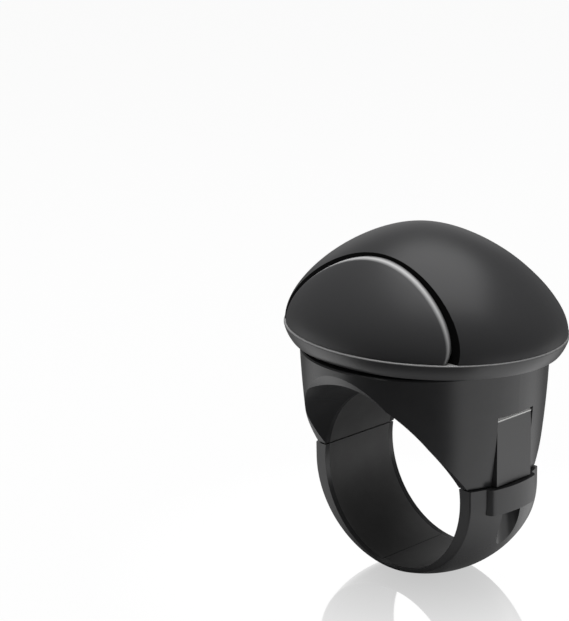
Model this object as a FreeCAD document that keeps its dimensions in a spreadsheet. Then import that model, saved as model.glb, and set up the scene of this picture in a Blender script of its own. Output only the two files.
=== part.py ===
# Clamp-on spinner knob for a steering wheel.
# Frame: origin at the centre of the clamp's bore, +Y along the bore, +Z up the
# spindle towards the knob, +X across the wheel's rim. Millimetres and degrees.
import FreeCAD, Part
import math
import os
import re

import PartDesign
import Sketcher
from FreeCAD import Placement, Rotation, Vector

doc = FreeCAD.newDocument("spinner_knob")
sheet = doc.addObject("Spreadsheet::Sheet", "sizes")

# Driving dimensions: name, value and what it measures
driving_dimensions = [
    ("bore_radius", 20.0, "inside of the closed clamp, on its liners"),
    ("liner_thickness", 0.45, "pads stuck inside the bore"),
    ("liner_margin", 1.3, "edge of the moulding left bare beside a pad"),
    ("liner_seam_angle", 10.6, "seam of the two lower pads, from straight down"),
    ("liner_seam_gap", 0.12, "between the ends of two pads"),
    ("ring_width", 21.8, "strap along the bore"),
    ("joint_height", 3.36, "plane between saddle and strap, above the bore's centre"),
    ("joint_gap", 0.3, "slit between saddle and strap when the clamp is tight"),
    ("strap_radius", 25.3, "bowl of the strap, about the spindle's axis"),
    ("strap_depth", 22.7, "lowest point of the strap below the bore's centre"),
    ("strap_edge_round", 0.4, "rounding of the strap's outer edges"),
    ("boss_radius", 26.6, "outside of a screw boss, about the spindle's axis"),
    ("boss_width", 14.6, "screw boss along the bore"),
    ("boss_drop", 2.5, "flat underside of a boss below the bore's centre"),
    ("boss_corner", 1.7, "rounding of a boss's upright corners"),
    ("channel_radius", 3.0, "driver channel below a boss"),
    ("channel_shift", 0.5, "channel's axis outside the screw's, at the boss"),
    ("channel_tilt", 5.0, "channel's lean outwards"),
    ("screw_inset", 2.0, "clamp screw's axis inside its nut block's face"),
    ("screw_radius", 1.25, "clamp screw's shank"),
    ("screw_length", 13.0, "clamp screw's shank"),
    ("screw_head_radius", 2.2, "clamp screw's socket head"),
    ("screw_head_height", 2.4, "clamp screw's socket head"),
    ("screw_socket", 2.0, "clamp screw's hexagon socket across its flats"),
    ("screw_clearance", 0.2, "round a clamp screw's head and shank in the strap"),
    ("thread_clearance", 0.05, "round a clamp screw's shank in its nut block"),
    ("foot_inset", 2.0, "saddle's side at the joint, inside the bosses"),
    ("waist_inset", 0.5, "saddle's side half way up, inside the bosses"),
    ("shoulder_reach", 0.3, "saddle's side at the top, beyond the bosses"),
    ("shoulder_bevel", 0.3, "bevel of the saddle's top edge"),
    ("knob_gap", 0.7, "between the saddle's top and the turning plate"),
    ("mouth_flare", 0.328, "widening of the arch's mouths per unit along the bore"),
    ("mouth_bevel", 2.9, "how far inside the shoulder a mouth's bevel starts"),
    ("foot_lean", 0.77, "lean of a leg's front and back, outwards per unit of height"),
    ("block_width", 10.8, "nut block along the bore"),
    ("block_face", 25.4, "nut block's outer face from the spindle's axis"),
    ("block_depth", 4.4, "nut block from its face inwards"),
    ("block_cover", 1.2, "least reach of the saddle's side beyond a nut block's face"),
    ("block_top", 18.7, "top of a nut block above the bore's centre"),
    ("block_bevel", 0.7, "bevel of a nut block's upper outer edge"),
    ("slot_clearance", 0.15, "round a nut block in its slot"),
    ("rim_height", 32.9, "rim of the dome above the bore's centre"),
    ("dome_length", 65.5, "dome across the wheel's rim"),
    ("dome_width", 54.5, "dome along the bore"),
    ("dome_height", 22.2, "dome above its rim"),
    ("dome_upright", 0.404, "upright handle of the section's curve, of its height"),
    ("dome_crown", 0.427, "level handle of the section's curve, of its half length"),
    ("shell_wall", 3.2, "dome's wall"),
    ("lobe_width", 9.75, "side recess at the rim, from its edge to the dome's side"),
    ("lobe_lean", 0.247, "the edge's lean towards the middle per unit of height"),
    ("lobe_depth", 1.8, "side recess below the dome's skin"),
    ("lobe_groove", 0.3, "slit between a recess's edge and its panel"),
    ("panel_drop", 0.1, "panel's skin below the dome's"),
    ("panel_round", 1.15, "rounded edge of a panel along the groove"),
    ("panel_clearance", 0.1, "glue film behind and below a panel"),
    ("plate_height", 3.5, "visible side of the plate below the rim"),
    ("plate_taper", 0.948, "plate's oval at its bottom over the dome's"),
    ("plate_bulge", 0.25, "outward bulge of the plate's side at half its height"),
    ("plate_reach", 0.35, "plate's oval beyond the dome's, at the rim"),
    ("plate_edge_round", 0.34, "rounded upper edge of the plate"),
    ("spigot_height", 3.0, "rib of the plate inside the dome"),
    ("spigot_wall", 2.2, "rib of the plate at its foot"),
    ("spigot_clearance", 0.12, "between the plate's rib and the dome's wall"),
    ("spindle_radius", 4.0, "spindle bolt's shank"),
    ("spindle_overhang", 1.4, "end of the bolt above the nut's collar"),
    ("spindle_clearance", 0.08, "round the bolt in what it carries"),
    ("head_flats", 13.0, "hexagon of the bolt's head and of the nut"),
    ("head_height", 4.6, "bolt's head"),
    ("head_floor", 2.9, "saddle's wall between the bolt's head and the top"),
    ("head_clearance", 0.1, "round the bolt's head in its pocket"),
    ("head_bevel", 0.5, "bevel of a hexagon's corners"),
    ("spacer_radius", 6.0, "collar between saddle and bearing"),
    ("plate_hole_clearance", 0.7, "plate's hole round the collar"),
    ("bearing_sink", 1.6, "lower face of the bearing below the rim"),
    ("bearing_radius", 11.0, "outside of the bearing"),
    ("bearing_width", 7.0, "bearing along the spindle"),
    ("inner_race_radius", 6.1, "outside of the inner race"),
    ("outer_race_bore", 8.95, "inside of the outer race"),
    ("ball_radius", 1.95, "bearing ball"),
    ("ball_clearance", 0.06, "between a ball and its grooves"),
    ("ball_count", 7.0, "balls in the bearing"),
    ("cage_wall", 0.8, "cage between the balls"),
    ("cage_height", 5.2, "cage between the balls"),
    ("cage_clearance", 0.1, "round a ball in its pocket"),
    ("shield_thickness", 0.35, "sheet shield of the bearing"),
    ("shield_gap", 0.15, "running gap between a shield and the inner race"),
    ("housing_wall", 2.5, "plate's housing round the bearing"),
    ("housing_lip", 1.0, "housing above the retaining ring"),
    ("ring_thickness", 1.0, "retaining ring"),
    ("ring_groove", 0.6, "retaining ring's bite into the housing"),
    ("ring_reach", 1.5, "retaining ring's cover of the bearing"),
    ("ring_mouth", 7.0, "opening of the retaining ring"),
    ("ring_play", 0.08, "retaining ring in its groove"),
    ("washer_radius", 6.05, "washer above the bearing"),
    ("washer_thickness", 1.0, "washer above the bearing"),
    ("nut_height", 5.0, "lock nut's hexagon"),
    ("collar_height", 1.5, "nylon collar of the lock nut"),
    ("collar_radius", 5.7, "nylon collar of the lock nut"),
]
for row, (alias, number, meaning) in enumerate(driving_dimensions, start=1):
    sheet.set("A%d" % row, alias)
    sheet.set("B%d" % row, str(number))
    sheet.set("C%d" % row, meaning)
    sheet.setAlias("B%d" % row, alias)
doc.recompute()

aliases = [alias for alias, number, meaning in driving_dimensions]
pieces = []


# Ways to bind a size, and to find edges

def bound(text):
    """An expression in which every size is read from the sheet."""
    def refer(match):
        word = match.group(0)
        return "sizes." + word if word in aliases else word
    return re.sub(r"[a-z_]+", refer, text)


def value(text):
    """What an expression comes to now."""
    return float(sheet.evalExpression(bound(text)))


def bind(feature, prop, text):
    feature.setExpression(prop, bound(text))


def piece(feature, name):
    """Name a finished sub-part."""
    feature.Label = name
    pieces.append(feature)
    return feature


def edge_names(shape, wanted):
    """Names of the edges whose sampled points all pass the test."""
    names = []
    for number, edge in enumerate(shape.Edges, start=1):
        if not edge.Degenerated and all(wanted(p) for p in edge.discretize(7)):
            names.append("Edge%d" % number)
    if not names:
        raise ValueError("no edge found")
    return names


# Solid primitives about the spindle's axis, and booleans

def cylinder(name, radius, height, bottom="0"):
    feature = doc.addObject("Part::Cylinder", name)
    bind(feature, "Radius", radius)
    bind(feature, "Height", height)
    bind(feature, "Placement.Base.z", bottom)
    return feature


def cylinder_along_bore(name, radius, width):
    """A cylinder on the bore's axis, from minus half its width to plus half."""
    feature = doc.addObject("Part::Cylinder", name)
    feature.Placement = Placement(Vector(0, 0, 0), Rotation(Vector(1, 0, 0), -90))
    bind(feature, "Radius", radius)
    bind(feature, "Height", width)
    bind(feature, "Placement.Base.y", "-(%s) / 2" % width)
    return feature


def hexagon_prism(name, flats, height, bottom):
    feature = doc.addObject("Part::Prism", name)
    feature.Polygon = 6
    bind(feature, "Circumradius", "(%s) / sqrt(3)" % flats)
    bind(feature, "Height", height)
    bind(feature, "Placement.Base.z", bottom)
    return feature


def box(name, x_from, x_size, y_size, z_from, z_size):
    """A box centred on the plane between front and back."""
    feature = doc.addObject("Part::Box", name)
    bind(feature, "Length", x_size)
    bind(feature, "Width", y_size)
    bind(feature, "Height", z_size)
    bind(feature, "Placement.Base.x", x_from)
    bind(feature, "Placement.Base.y", "-(%s) / 2" % y_size)
    bind(feature, "Placement.Base.z", z_from)
    return feature


def cut(name, base, tool):
    feature = doc.addObject("Part::Cut", name)
    feature.Base = base
    feature.Tool = tool
    return feature


def common(name, first, second):
    feature = doc.addObject("Part::Common", name)
    feature.Base = first
    feature.Tool = second
    return feature


def fuse(name, *shapes):
    feature = doc.addObject("Part::MultiFuse", name)
    feature.Shapes = list(shapes)
    feature.Refine = True
    return feature


def turned_ring(name, outer, inner, height, bottom):
    outside = cylinder(name + "_outside", outer, height, bottom)
    hole = cylinder(name + "_hole", inner, height, bottom)
    return cut(name, outside, hole)


# Bodies made of sketches

def new_body(name, base=None):
    body = doc.addObject("PartDesign::Body", name)
    if base is not None:
        doc.recompute()
        body.BaseFeature = base
        doc.recompute()
    return body


def new_sketch(body, name, role, offset="0"):
    """A sketch on one of the body's own planes, moved off it by an expression."""
    sketch = body.newObject("Sketcher::SketchObject", name)
    plane = [p for p in body.Origin.OriginFeatures if p.Role == role][0]
    sketch.AttachmentSupport = [(plane, "")]
    sketch.MapMode = "FlatFace"
    bind(sketch, "AttachmentOffset.Base.z", offset)
    return sketch


def hold(sketch, kind, text, *ends):
    """A constraint whose size comes from the sheet."""
    index = sketch.addConstraint(Sketcher.Constraint(kind, *ends, value(text)))
    bind(sketch, "Constraints[%d]" % index, text)


def polygon(sketch, corners):
    """A closed outline with its corners given as pairs of expressions."""
    points = [Vector(value(x), value(y), 0) for x, y in corners]
    count = len(points)
    first = sketch.GeometryCount
    for k in range(count):
        sketch.addGeometry(Part.LineSegment(points[k], points[(k + 1) % count]), False)
    for k in range(count):
        following = first + (k + 1) % count
        sketch.addConstraint(Sketcher.Constraint("Coincident", first + k, 2, following, 1))
    for k, (x, y) in enumerate(corners):
        hold(sketch, "DistanceX", x, -1, 1, first + k, 1)
        hold(sketch, "DistanceY", y, -1, 1, first + k, 1)


def circle(sketch, radius, x="0"):
    start = Vector(value(x), 0, 0)
    index = sketch.addGeometry(Part.Circle(start, Vector(0, 0, 1), value(radius)), False)
    hold(sketch, "DistanceX", x, -1, 1, index, 3)
    hold(sketch, "DistanceY", "0", -1, 1, index, 3)
    hold(sketch, "Radius", radius, index)


def hexagon_corners(flats):
    """Two corners on the X axis, as a prism's have."""
    corner = "(%s) / sqrt(3)" % flats
    half_corner = "(%s) / sqrt(3) / 2" % flats
    half = "(%s) / 2" % flats
    return [
        (corner, "0"), (half_corner, half), ("-" + half_corner, half),
        ("-" + corner, "0"), ("-" + half_corner, "-" + half), (half_corner, "-" + half),
    ]


def pad(body, name, sketch, length):
    feature = body.newObject("PartDesign::Pad", name)
    feature.Profile = sketch
    bind(feature, "Length", length)
    body.Tip = feature
    return feature


def pocket(body, name, sketch, length, upwards=True):
    """A pocket, whose cut is compared with the solid before it."""
    doc.recompute()
    before = body.Shape.Volume
    feature = body.newObject("PartDesign::Pocket", name)
    feature.Profile = sketch
    feature.Reversed = upwards
    bind(feature, "Length", length)
    body.Tip = feature
    doc.recompute()
    if body.Shape.Volume > before - 0.01:
        raise ValueError(name + " cuts nothing")
    return feature


def dress(body, kind, name, size, wanted):
    """A fillet or chamfer on the body's edges that pass the test."""
    doc.recompute()
    base = body.Tip
    feature = body.newObject("PartDesign::" + kind, name)
    feature.Base = (base, edge_names(base.Shape, wanted))
    bind(feature, "Radius" if kind == "Fillet" else "Size", size)
    body.Tip = feature
    return feature


# Lines that several pieces share, as expressions
half_ring = "ring_width / 2"
saddle_foot = "joint_height + joint_gap / 2"
strap_lip = "joint_height - joint_gap / 2"
liner_seat = "bore_radius + liner_thickness"
saddle_top = "rim_height - plate_height - knob_gap"
side_reach = "max(boss_radius; block_face + block_cover)"
screw_offset = "(block_face - screw_inset)"
bearing_bottom = "rim_height - bearing_sink"
pad_width = "ring_width - 2 * liner_margin"
beyond = "4 * boss_radius"


# Strap
# A bowl turned about the spindle and trimmed to the ring's width, with a screw
# boss and a driver channel on each side.
bowl = doc.addObject("Part::Ellipsoid", "strap_bowl")
bind(bowl, "Radius1", "strap_depth")
bind(bowl, "Radius2", "strap_radius")
bind(bowl, "Radius3", "strap_radius")
bowl.Angle1 = -90
bowl.Angle2 = 0
collar = cylinder("strap_collar", "strap_radius", strap_lip)
bowl_slab = box("strap_slab", "-(%s) / 2" % beyond, beyond, "ring_width",
                "-" + beyond, beyond + " + " + strap_lip)
bowl_trimmed = common("strap_trimmed", fuse("strap_turned", bowl, collar), bowl_slab)

boss_height = "boss_drop + " + strap_lip
boss_round = cylinder("boss_round", "boss_radius", boss_height, "-boss_drop")
boss_slab = box("boss_slab", "-(%s) / 2" % beyond, beyond, "boss_width",
                "-boss_drop", boss_height)
bosses = new_body("boss_pair", common("boss_block", boss_round, boss_slab))
dress(bosses, "Fillet", "boss_corners", "boss_corner",
      lambda p: abs(abs(p.y) - value("boss_width / 2")) < 0.01
      and math.hypot(p.x, p.y) > value("boss_radius") - 0.01)

strap_blank = fuse("strap_blank", bowl_trimmed, bosses)
strap_bored = cut("strap_bored", strap_blank,
                  cylinder_along_bore("strap_bore", "bore_radius", beyond))
strap_seated = cut("strap_seated", strap_bored,
                   cylinder_along_bore("strap_liner_seat", liner_seat, pad_width))

strap = new_body("strap_body", strap_seated)
dress(strap, "Fillet", "strap_edges", "strap_edge_round",
      lambda p: abs(abs(p.y) - value(half_ring)) < 0.01
      and math.hypot(p.x, p.z) > value("bore_radius + 0.2")
      and p.z < value(strap_lip) - 0.01)

strap_open = strap
for side, name in ((-1, "left"), (1, "right")):
    x = "%d * " % side
    head_seat = cylinder("head_seat_" + name, "screw_head_radius + screw_clearance",
                         "boss_drop", "-boss_drop")
    shank_hole = cylinder("shank_hole_" + name, "screw_radius + screw_clearance",
                          strap_lip + " + boss_drop", "-boss_drop / 2")
    bind(head_seat, "Placement.Base.x", x + screw_offset)
    bind(shank_hole, "Placement.Base.x", x + screw_offset)
    channel = cylinder("channel_" + name, "channel_radius", "strap_depth", "-boss_drop")
    channel.Placement.Rotation = Rotation(Vector(0, 1, 0), 180)
    bind(channel, "Placement.Base.x", x + "(%s + channel_shift)" % screw_offset)
    bind(channel, "Placement.Rotation.Angle", "180 - %d * channel_tilt" % side)
    channel_below = common("channel_below_" + name, channel, box(
        "channel_room_" + name, "-" + beyond, "2 * " + beyond, beyond,
        "-" + beyond, beyond + " - boss_drop"))
    openings = fuse("strap_openings_" + name, head_seat, shank_hole, channel_below)
    strap_open = cut("strap_opened_" + name, strap_open, openings)
piece(strap_open, "clamp_strap")


# Liners of the strap
# Two pads that meet at the seam near the bottom.
def liner_sector(name, start_angle, sweep):
    """A pad's sector, its angle counted from straight down towards +X."""
    outside = cylinder_along_bore(name + "_outside", liner_seat, pad_width)
    inside = cylinder_along_bore(name + "_inside", "bore_radius", pad_width)
    ring = cut(name + "_ring", outside, inside)
    wedge = doc.addObject("Part::Cylinder", name + "_wedge")
    wedge.Placement.Rotation = Rotation(Vector(1, 0, 0), 90)
    bind(wedge, "Radius", beyond)
    bind(wedge, "Height", beyond)
    bind(wedge, "Angle", sweep)
    turn = Rotation(Vector(0, 1, 0), 90 - value(start_angle))
    wedge.Placement = Placement(Vector(0, 0, 0), turn * wedge.Placement.Rotation)
    bind(wedge, "Placement.Base.y", "(%s) / 2" % beyond)
    return common(name + "_sector", ring, wedge)


seam_half = "liner_seam_gap / 2 / bore_radius * 180 / pi"
below_joint = box("room_below_joint", "-(%s) / 2" % beyond, beyond, beyond,
                  "-" + beyond, beyond + " + " + strap_lip)
right_sector = liner_sector("liner_right", "%s - liner_seam_angle" % seam_half,
                            "120 + liner_seam_angle")
left_sector = liner_sector("liner_left", "-120 - liner_seam_angle",
                           "120 - (%s)" % seam_half)
piece(common("liner_right_trimmed", right_sector, below_joint), "liner_right")
piece(common("liner_left_trimmed", left_sector, below_joint), "liner_left")


# Saddle
# The arch that sits on the wheel's rim: a body turned about the spindle, trimmed
# at its foot to the ring's width, with a flaring mouth at the front and back.
def saddle_form():
    foot = value(saddle_foot)
    top = value(saddle_top)
    bevel = value("shoulder_bevel")
    foot_radius = value(side_reach + " - foot_inset")
    waist_radius = value(side_reach + " - waist_inset")
    shoulder_radius = value(side_reach + " + shoulder_reach")
    side = Part.Arc(
        Vector(foot_radius, 0, foot),
        Vector(waist_radius, 0, (foot + top - bevel) / 2),
        Vector(shoulder_radius, 0, top - bevel),
    ).toShape()
    corners = [
        Vector(shoulder_radius, 0, top - bevel), Vector(shoulder_radius - bevel, 0, top),
        Vector(0, 0, top), Vector(0, 0, foot), Vector(foot_radius, 0, foot),
    ]
    rest = [Part.makeLine(a, b) for a, b in zip(corners, corners[1:])]
    section = Part.Wire([side] + rest)
    return Part.Face(section).revolve(Vector(0, 0, 0), Vector(0, 0, 1), 360)


def mouth_cones(name, turn):
    """The flare of one mouth and the bevel of its rim, along the bore's axis."""
    flare_room = "(%s)" % side_reach
    bevel_start = "(%s + shoulder_reach - mouth_bevel)" % side_reach
    bevel_radius = "(bore_radius + mouth_flare * (%s - %s))" % (bevel_start, half_ring)
    flare = doc.addObject("Part::Cone", "mouth_flare_" + name)
    bevel = doc.addObject("Part::Cone", "mouth_bevel_" + name)
    for cone in (flare, bevel):
        cone.Placement.Rotation = Rotation(Vector(1, 0, 0), turn)
        bind(cone, "Height", flare_room)
    forwards = "-" if turn > 0 else ""
    bind(flare, "Radius1", "bore_radius")
    bind(flare, "Radius2", "bore_radius + mouth_flare * " + flare_room)
    bind(flare, "Placement.Base.y", "%s(%s)" % (forwards, half_ring))
    bind(bevel, "Radius1", bevel_radius)
    bind(bevel, "Radius2", "%s + %s" % (bevel_radius, flare_room))
    bind(bevel, "Placement.Base.y", forwards + bevel_start)
    return [flare, bevel]


saddle_turned = doc.addObject("Part::Feature", "saddle_turned")
saddle_turned.Shape = saddle_form()
saddle_rise = "(%s - (%s))" % (saddle_top, saddle_foot)
leg_top = "(%s + foot_lean * %s)" % (half_ring, saddle_rise)
leg_trim = doc.addObject("Part::Wedge", "saddle_trim")
leg_trim.Placement.Rotation = Rotation(Vector(1, 0, 0), 90)
for prop, text in (("Xmin", "-" + beyond), ("Xmax", beyond),
                   ("X2min", "-" + beyond), ("X2max", beyond),
                   ("Ymin", saddle_foot), ("Ymax", saddle_top),
                   ("Zmin", "-" + half_ring), ("Zmax", half_ring),
                   ("Z2min", "-" + leg_top), ("Z2max", leg_top)):
    bind(leg_trim, prop, text)
saddle_block = common("saddle_block", saddle_turned, leg_trim)
arch = fuse("arch_openings",
            cylinder_along_bore("saddle_bore", "bore_radius", beyond),
            cylinder_along_bore("saddle_liner_seat", liner_seat, pad_width),
            *mouth_cones("front", 90), *mouth_cones("back", -90))
saddle = cut("saddle_arched", saddle_block, arch)

head_top = saddle_top + " - head_floor"
head_pocket = hexagon_prism("head_pocket", "head_flats + 2 * head_clearance",
                            head_top + " - bore_radius / 2", "bore_radius / 2")
saddle_hole = cylinder("saddle_hole", "spindle_radius + spindle_clearance",
                       saddle_top, "bore_radius / 2")
slots = []
for side, name in ((-1, "left"), (1, "right")):
    slot = box("slot_" + name,
               "%d * (block_face - block_depth - slot_clearance + (%s) / 2) - (%s) / 2"
               % (side, beyond, beyond),
               beyond, "block_width + 2 * slot_clearance", "0",
               "block_top + slot_clearance")
    slots.append(slot)
saddle_tools = fuse("saddle_openings", head_pocket, saddle_hole, *slots)
piece(cut("saddle_opened", saddle, saddle_tools), "clamp_saddle")


# Liner of the saddle
top_ring = cut("liner_top_ring",
               cylinder_along_bore("liner_top_outside", liner_seat, pad_width),
               cylinder_along_bore("liner_top_inside", "bore_radius", pad_width))
above_joint = box("room_above_joint", "-(%s) / 2" % beyond, beyond, beyond,
                  saddle_foot, beyond)
piece(common("liner_top_trimmed", top_ring, above_joint), "liner_top")


# Nut blocks
# A threaded metal block in a slot of each leg, flat outside.
for side, name in ((-1, "left"), (1, "right")):
    block = new_body("block_" + name)
    plan = new_sketch(block, "block_plan_" + name, "XY_Plane", saddle_foot)
    inner_x = "%d * (block_face - block_depth)" % side
    outer_x = "%d * block_face" % side
    polygon(plan, [
        (inner_x, "-block_width / 2"), (outer_x, "-block_width / 2"),
        (outer_x, "block_width / 2"), (inner_x, "block_width / 2"),
    ])
    pad(block, "block_pad_" + name, plan, "block_top - joint_height - joint_gap / 2")
    dress(block, "Chamfer", "block_edge_" + name, "block_bevel",
          lambda p: abs(p.z - value("block_top")) < 0.01
          and abs(abs(p.x) - value("block_face")) < 0.01)
    thread = new_sketch(block, "block_thread_" + name, "XY_Plane", saddle_foot)
    circle(thread, "screw_radius + thread_clearance", "%d * %s" % (side, screw_offset))
    pocket(block, "block_hole_" + name, thread, "block_top")
    piece(block, "nut_block_" + name)


# Clamp screws
# Socket heads in the bosses, shanks up into the nut blocks.
for side, name in ((-1, "left"), (1, "right")):
    screw = new_body("screw_" + name)
    x = "%d * %s" % (side, screw_offset)
    head_plan = new_sketch(screw, "screw_head_plan_" + name, "XY_Plane",
                           "-screw_head_height")
    circle(head_plan, "screw_head_radius", x)
    pad(screw, "screw_head_" + name, head_plan, "screw_head_height")
    shank_plan = new_sketch(screw, "screw_shank_plan_" + name, "XY_Plane")
    circle(shank_plan, "screw_radius", x)
    pad(screw, "screw_shank_" + name, shank_plan, "screw_length")
    socket_plan = new_sketch(screw, "screw_socket_plan_" + name, "XY_Plane",
                             "-screw_head_height")
    corners = hexagon_corners("screw_socket")
    polygon(socket_plan, [(x + " + " + across, along) for across, along in corners])
    pocket(screw, "screw_socket_" + name, socket_plan, "screw_head_height / 2")
    piece(screw, "clamp_screw_" + name)


# Spindle bolt
# Its hexagon head is held in the arch, above the upper liner.
bearing_top = bearing_bottom + " + bearing_width"
nut_seat = bearing_top + " + washer_thickness"
spindle_end = nut_seat + " + nut_height + collar_height + spindle_overhang"
bolt = new_body("bolt")
head_plan = new_sketch(bolt, "bolt_head_plan", "XY_Plane", head_top + " - head_height")
polygon(head_plan, hexagon_corners("head_flats"))
pad(bolt, "bolt_head", head_plan, "head_height")
dress(bolt, "Chamfer", "bolt_head_bevel", "head_bevel",
      lambda p: abs(p.z - value(head_top + " - head_height")) < 0.01)
bolt_plan = new_sketch(bolt, "bolt_shank_plan", "XY_Plane", head_top)
circle(bolt_plan, "spindle_radius")
pad(bolt, "bolt_shank", bolt_plan, "%s - (%s)" % (spindle_end, head_top))
dress(bolt, "Chamfer", "bolt_point", "head_bevel",
      lambda p: abs(p.z - value(spindle_end)) < 0.01)
piece(bolt, "spindle_bolt")

spindle_hole = "spindle_radius + spindle_clearance"
piece(turned_ring("spacer", "spacer_radius", spindle_hole,
                  "%s - (%s)" % (bearing_bottom, saddle_top), saddle_top), "spindle_spacer")


# Bearing
# Two grooved races with balls, a cage and a thin shield at each face.
pitch = "(inner_race_radius + outer_race_bore) / 2"
ball_height = bearing_bottom + " + bearing_width / 2"


def ball_track(name):
    track = doc.addObject("Part::Torus", name)
    bind(track, "Radius1", pitch)
    bind(track, "Radius2", "ball_radius + ball_clearance")
    bind(track, "Placement.Base.z", ball_height)
    return track


def balls(name, radius):
    """As many balls as the bearing has, on its pitch circle."""
    spheres = []
    count = int(value("ball_count"))
    for k in range(count):
        sphere = doc.addObject("Part::Sphere", "%s_%d" % (name, k))
        bind(sphere, "Radius", radius)
        angle = "%d * 360 / ball_count" % k
        bind(sphere, "Placement.Base.x", "(%s) * cos(%s)" % (pitch, angle))
        bind(sphere, "Placement.Base.y", "(%s) * sin(%s)" % (pitch, angle))
        bind(sphere, "Placement.Base.z", ball_height)
        spheres.append(sphere)
    group = doc.addObject("Part::Compound", name)
    group.Links = spheres
    return group


def ball_pockets():
    """Round holes through the cage, one for each ball."""
    holes = []
    count = int(value("ball_count"))
    for k in range(count):
        hole = doc.addObject("Part::Cylinder", "cage_pocket_%d" % k)
        outwards = Vector(math.cos(2 * math.pi * k / count),
                          math.sin(2 * math.pi * k / count), 0)
        hole.Placement.Rotation = Rotation(Vector(0, 0, 1), outwards)
        bind(hole, "Radius", "ball_radius + cage_clearance")
        bind(hole, "Height", "bearing_radius")
        bind(hole, "Placement.Base.z", ball_height)
        holes.append(hole)
    return fuse("cage_pockets", *holes)


inner_ring = turned_ring("inner_ring", "inner_race_radius", spindle_hole,
                         "bearing_width", bearing_bottom)
piece(cut("inner_race", inner_ring, ball_track("inner_track")), "bearing_inner_race")
outer_ring = turned_ring("outer_ring", "bearing_radius", "outer_race_bore",
                         "bearing_width", bearing_bottom)
piece(cut("outer_race", outer_ring, ball_track("outer_track")), "bearing_outer_race")
piece(balls("ball_set", "ball_radius"), "bearing_balls")
cage_ring = turned_ring("cage_ring", pitch + " + cage_wall / 2", pitch + " - cage_wall / 2",
                        "cage_height", ball_height + " - cage_height / 2")
piece(cut("cage", cage_ring, ball_pockets()), "bearing_cage")
shield_bore = "inner_race_radius + shield_gap"
piece(turned_ring("shield_below", "outer_race_bore", shield_bore,
                  "shield_thickness", bearing_bottom), "bearing_shield_lower")
piece(turned_ring("shield_above", "outer_race_bore", shield_bore,
                  "shield_thickness", bearing_top + " - shield_thickness"),
      "bearing_shield_upper")


# Washer, lock nut and its nylon collar
piece(turned_ring("washer", "washer_radius", spindle_hole, "washer_thickness",
                  bearing_top), "spindle_washer")
nut = new_body("nut")
nut_plan = new_sketch(nut, "nut_plan", "XY_Plane", nut_seat)
polygon(nut_plan, hexagon_corners("head_flats"))
circle(nut_plan, "spindle_radius + thread_clearance")
pad(nut, "nut_pad", nut_plan, "nut_height")
dress(nut, "Chamfer", "nut_bevel", "head_bevel",
      lambda p: abs(p.z - value(nut_seat)) < 0.01
      and math.hypot(p.x, p.y) > value("head_flats / 2") - 0.01)
piece(nut, "lock_nut")
piece(turned_ring("nut_collar", "collar_radius", "spindle_radius + thread_clearance",
                  "collar_height", nut_seat + " + nut_height"), "lock_nut_collar")


# Retaining ring
# A sprung ring over the outer race, open on one side.
ring_outside = "bearing_radius + ring_groove"
closed_ring = turned_ring("closed_ring", ring_outside, "bearing_radius - ring_reach",
                          "ring_thickness", bearing_top)
mouth = box("ring_mouth_room", "0", "bearing_radius * 2", "ring_mouth",
            bearing_top, "ring_thickness")
piece(cut("open_ring", closed_ring, mouth), "retaining_ring")


# Dome
# An oval dome with a fuller section than an ellipse's, closed by the flat rim.
def dome(inset):
    """The solid under the dome's skin, or under a skin that lies deeper."""
    height = value("dome_height") - inset
    half_length = value("dome_length / 2") - inset
    half_width = value("dome_width / 2") - inset
    rim = Vector(half_length, 0, 0)
    apex = Vector(0, 0, height)
    skin = Part.BezierCurve()
    skin.setPoles([
        rim, Vector(half_length, 0, height * value("dome_upright")),
        Vector(half_length * value("dome_crown"), 0, height), apex,
    ])
    outline = Part.Wire([
        skin.toShape(),
        Part.makeLine(apex, Vector(0, 0, 0)),
        Part.makeLine(Vector(0, 0, 0), rim),
    ])
    solid = Part.Face(outline).revolve(Vector(0, 0, 0), Vector(0, 0, 1), 360)
    squash = FreeCAD.Matrix()
    squash.A22 = half_width / half_length
    solid = solid.transformGeometry(squash)
    solid.translate(Vector(0, 0, value("rim_height")))
    return solid


lobe_distance = "(dome_width / 2 - lobe_width)"


def beyond_lobe_edge(side, extra):
    """All that lies outside a side recess's leaning edge, moved out by extra."""
    room = value(beyond)
    rim = value("rim_height")
    lean = value("lobe_lean")
    near = value(lobe_distance) + extra
    outline = [
        Vector(-room / 2, side * (near + lean * rim), 0),
        Vector(-room / 2, side * (near + lean * (rim - room)), room),
        Vector(-room / 2, side * room, room),
        Vector(-room / 2, side * room, 0),
    ]
    face = Part.Face(Part.makePolygon(outline + outline[:1]))
    return face.extrude(Vector(room, 0, 0))


def knob_shell():
    shell = dome(0).cut(dome(value("shell_wall")))
    floor = dome(value("lobe_depth"))
    for side in (-1, 1):
        shell = shell.cut(beyond_lobe_edge(side, 0).cut(floor))
    return shell


def grip_panel(side):
    """A panel that fills a side recess, with its edge along the groove rounded."""
    clearance = value("panel_clearance")
    rim = value("rim_height")
    lean = value("lobe_lean")
    near = value(lobe_distance + " + lobe_groove")
    cap = dome(value("panel_drop")).common(beyond_lobe_edge(side, value("lobe_groove")))

    # Of the edges on the leaning plane, the one along the skin is the longest
    on_plane = []
    for edge in cap.Edges:
        offsets = [abs(side * p.y - near + lean * (p.z - rim)) for p in edge.discretize(7)]
        if max(offsets) < 0.02:
            on_plane.append(edge)
    arc = max(on_plane, key=lambda edge: edge.Length)
    rounded = cap.makeFillet(value("panel_round"), [arc])
    room = value(beyond)
    foot = Part.makeBox(room, room, rim + clearance, Vector(-room / 2, -room / 2, 0))
    return rounded.cut(dome(value("lobe_depth") - clearance)).cut(foot)


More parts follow.
